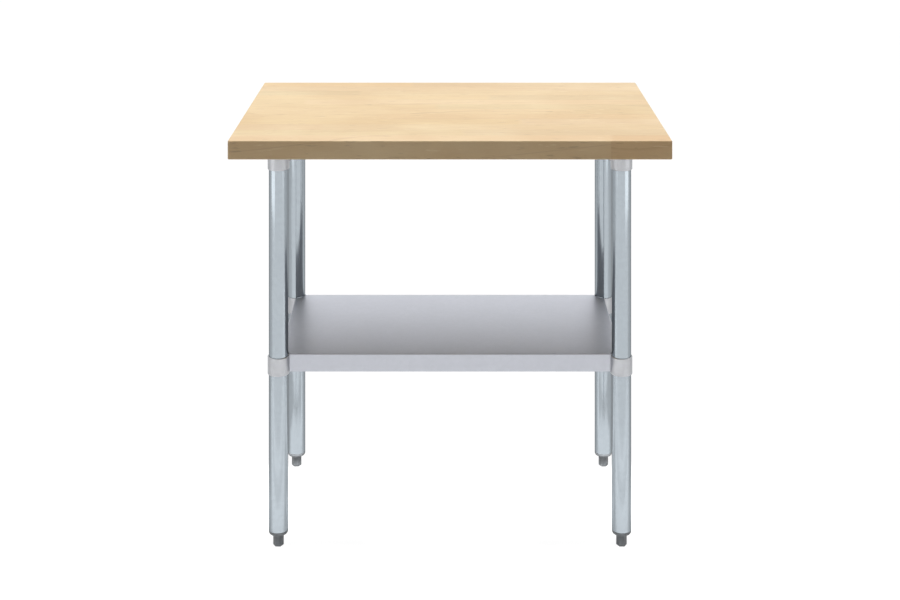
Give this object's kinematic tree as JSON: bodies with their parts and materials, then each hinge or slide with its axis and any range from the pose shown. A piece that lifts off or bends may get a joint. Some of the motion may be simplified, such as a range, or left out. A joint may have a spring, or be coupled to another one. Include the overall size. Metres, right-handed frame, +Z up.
{
  "type": "butcher block table",
  "caption": "Free-standing worktable with a finger-jointed maple block top on round galvanised legs, a height-adjustable undershelf and screw-in levelling feet.",
  "frame": {"origin": "on the floor under the middle of the table", "axes": "+X to the right along the width, +Y from front to back, +Z up"},
  "size_m": [0.9144, 0.6096, 0.889],
  "materials": {
    "maple": "satin oiled",
    "galvanised_tube": "satin galvanised",
    "galvanised_sheet": "satin galvanised",
    "cast_alloy": "as cast, satin",
    "grey_plastic": "moulded, matte",
    "zinc_plated_steel": "zinc plated"
  },
  "bodies": {
    "frame": {"top_block_01_left": "maple", "top_block_01_right": "maple", "top_block_02_left": "maple", "top_block_02_right": "maple", "top_block_03_left": "maple", "top_block_03_right": "maple", "top_block_04_left": "maple", "top_block_04_right": "maple", "top_block_05_left": "maple", "top_block_05_right": "maple", "top_block_06_left": "maple", "top_block_06_right": "maple", "top_block_07_left": "maple", "top_block_07_right": "maple", "top_block_08_left": "maple", "top_block_08_right": "maple", "top_block_09_left": "maple", "top_block_09_right": "maple", "top_block_10_left": "maple", "top_block_10_right": "maple", "top_block_11_left": "maple", "top_block_11_right": "maple", "top_block_12_left": "maple", "top_block_12_right": "maple", "leg_socket_front_left": "cast_alloy", "leg_socket_front_right": "cast_alloy", "leg_socket_back_right": "cast_alloy", "leg_socket_back_left": "cast_alloy", "leg_tube_front_left": "galvanised_tube", "leg_tube_front_right": "galvanised_tube", "leg_tube_back_right": "galvanised_tube", "leg_tube_back_left": "galvanised_tube", "foot_plug_front_left": "grey_plastic", "foot_plug_front_right": "grey_plastic", "foot_plug_back_right": "grey_plastic", "foot_plug_back_left": "grey_plastic", "socket_screws": "zinc_plated_steel", "socket_set_screws": "zinc_plated_steel"},
    "undershelf": {"shelf_pan": "galvanised_sheet", "shelf_stiffener": "galvanised_sheet", "shelf_collar_front_left": "cast_alloy", "shelf_collar_front_right": "cast_alloy", "shelf_collar_back_right": "cast_alloy", "shelf_collar_back_left": "cast_alloy", "collar_set_screws": "zinc_plated_steel"},
    "stud_front_left": {"foot_stud_front_left": "zinc_plated_steel"},
    "foot_front_left": {"foot_hex_front_left": "grey_plastic"},
    "stud_front_right": {"foot_stud_front_right": "zinc_plated_steel"},
    "foot_front_right": {"foot_hex_front_right": "grey_plastic"},
    "stud_back_right": {"foot_stud_back_right": "zinc_plated_steel"},
    "foot_back_right": {"foot_hex_back_right": "grey_plastic"},
    "stud_back_left": {"foot_stud_back_left": "zinc_plated_steel"},
    "foot_back_left": {"foot_hex_back_left": "grey_plastic"}
  },
  "joints": [
    {"name": "undershelf_height", "type": "slide", "parent": "frame", "child": "undershelf", "axis": [0, 0, 1], "range_m": [-0.3, 0.36]},
    {"name": "foot_travel_front_left", "type": "slide", "parent": "frame", "child": "stud_front_left", "axis": [0, 0, -1], "range_m": [0, 0.0254]},
    {"name": "foot_turn_front_left", "type": "hinge", "parent": "stud_front_left", "child": "foot_front_left", "pos_m": [-0.366, -0.1865, 0], "axis": [0, 0, -1], "range_deg": [0, 4680]},
    {"name": "foot_travel_front_right", "type": "slide", "parent": "frame", "child": "stud_front_right", "axis": [0, 0, -1], "range_m": [0, 0.0254]},
    {"name": "foot_turn_front_right", "type": "hinge", "parent": "stud_front_right", "child": "foot_front_right", "pos_m": [0.366, -0.1865, 0], "axis": [0, 0, -1], "range_deg": [0, 4680]},
    {"name": "foot_travel_back_right", "type": "slide", "parent": "frame", "child": "stud_back_right", "axis": [0, 0, -1], "range_m": [0, 0.0254]},
    {"name": "foot_turn_back_right", "type": "hinge", "parent": "stud_back_right", "child": "foot_back_right", "pos_m": [0.366, 0.1865, 0], "axis": [0, 0, -1], "range_deg": [0, 4680]},
    {"name": "foot_travel_back_left", "type": "slide", "parent": "frame", "child": "stud_back_left", "axis": [0, 0, -1], "range_m": [0, 0.0254]},
    {"name": "foot_turn_back_left", "type": "hinge", "parent": "stud_back_left", "child": "foot_back_left", "pos_m": [-0.366, 0.1865, 0], "axis": [0, 0, -1], "range_deg": [0, 4680]}
  ],
  "couplings": [
    {"joint": "foot_turn_front_left", "follows": "foot_travel_front_left", "rad_per_m": 3215.8},
    {"joint": "foot_turn_front_right", "follows": "foot_travel_front_right", "rad_per_m": 3215.8},
    {"joint": "foot_turn_back_right", "follows": "foot_travel_back_right", "rad_per_m": 3215.8},
    {"joint": "foot_turn_back_left", "follows": "foot_travel_back_left", "rad_per_m": 3215.8}
  ]
}
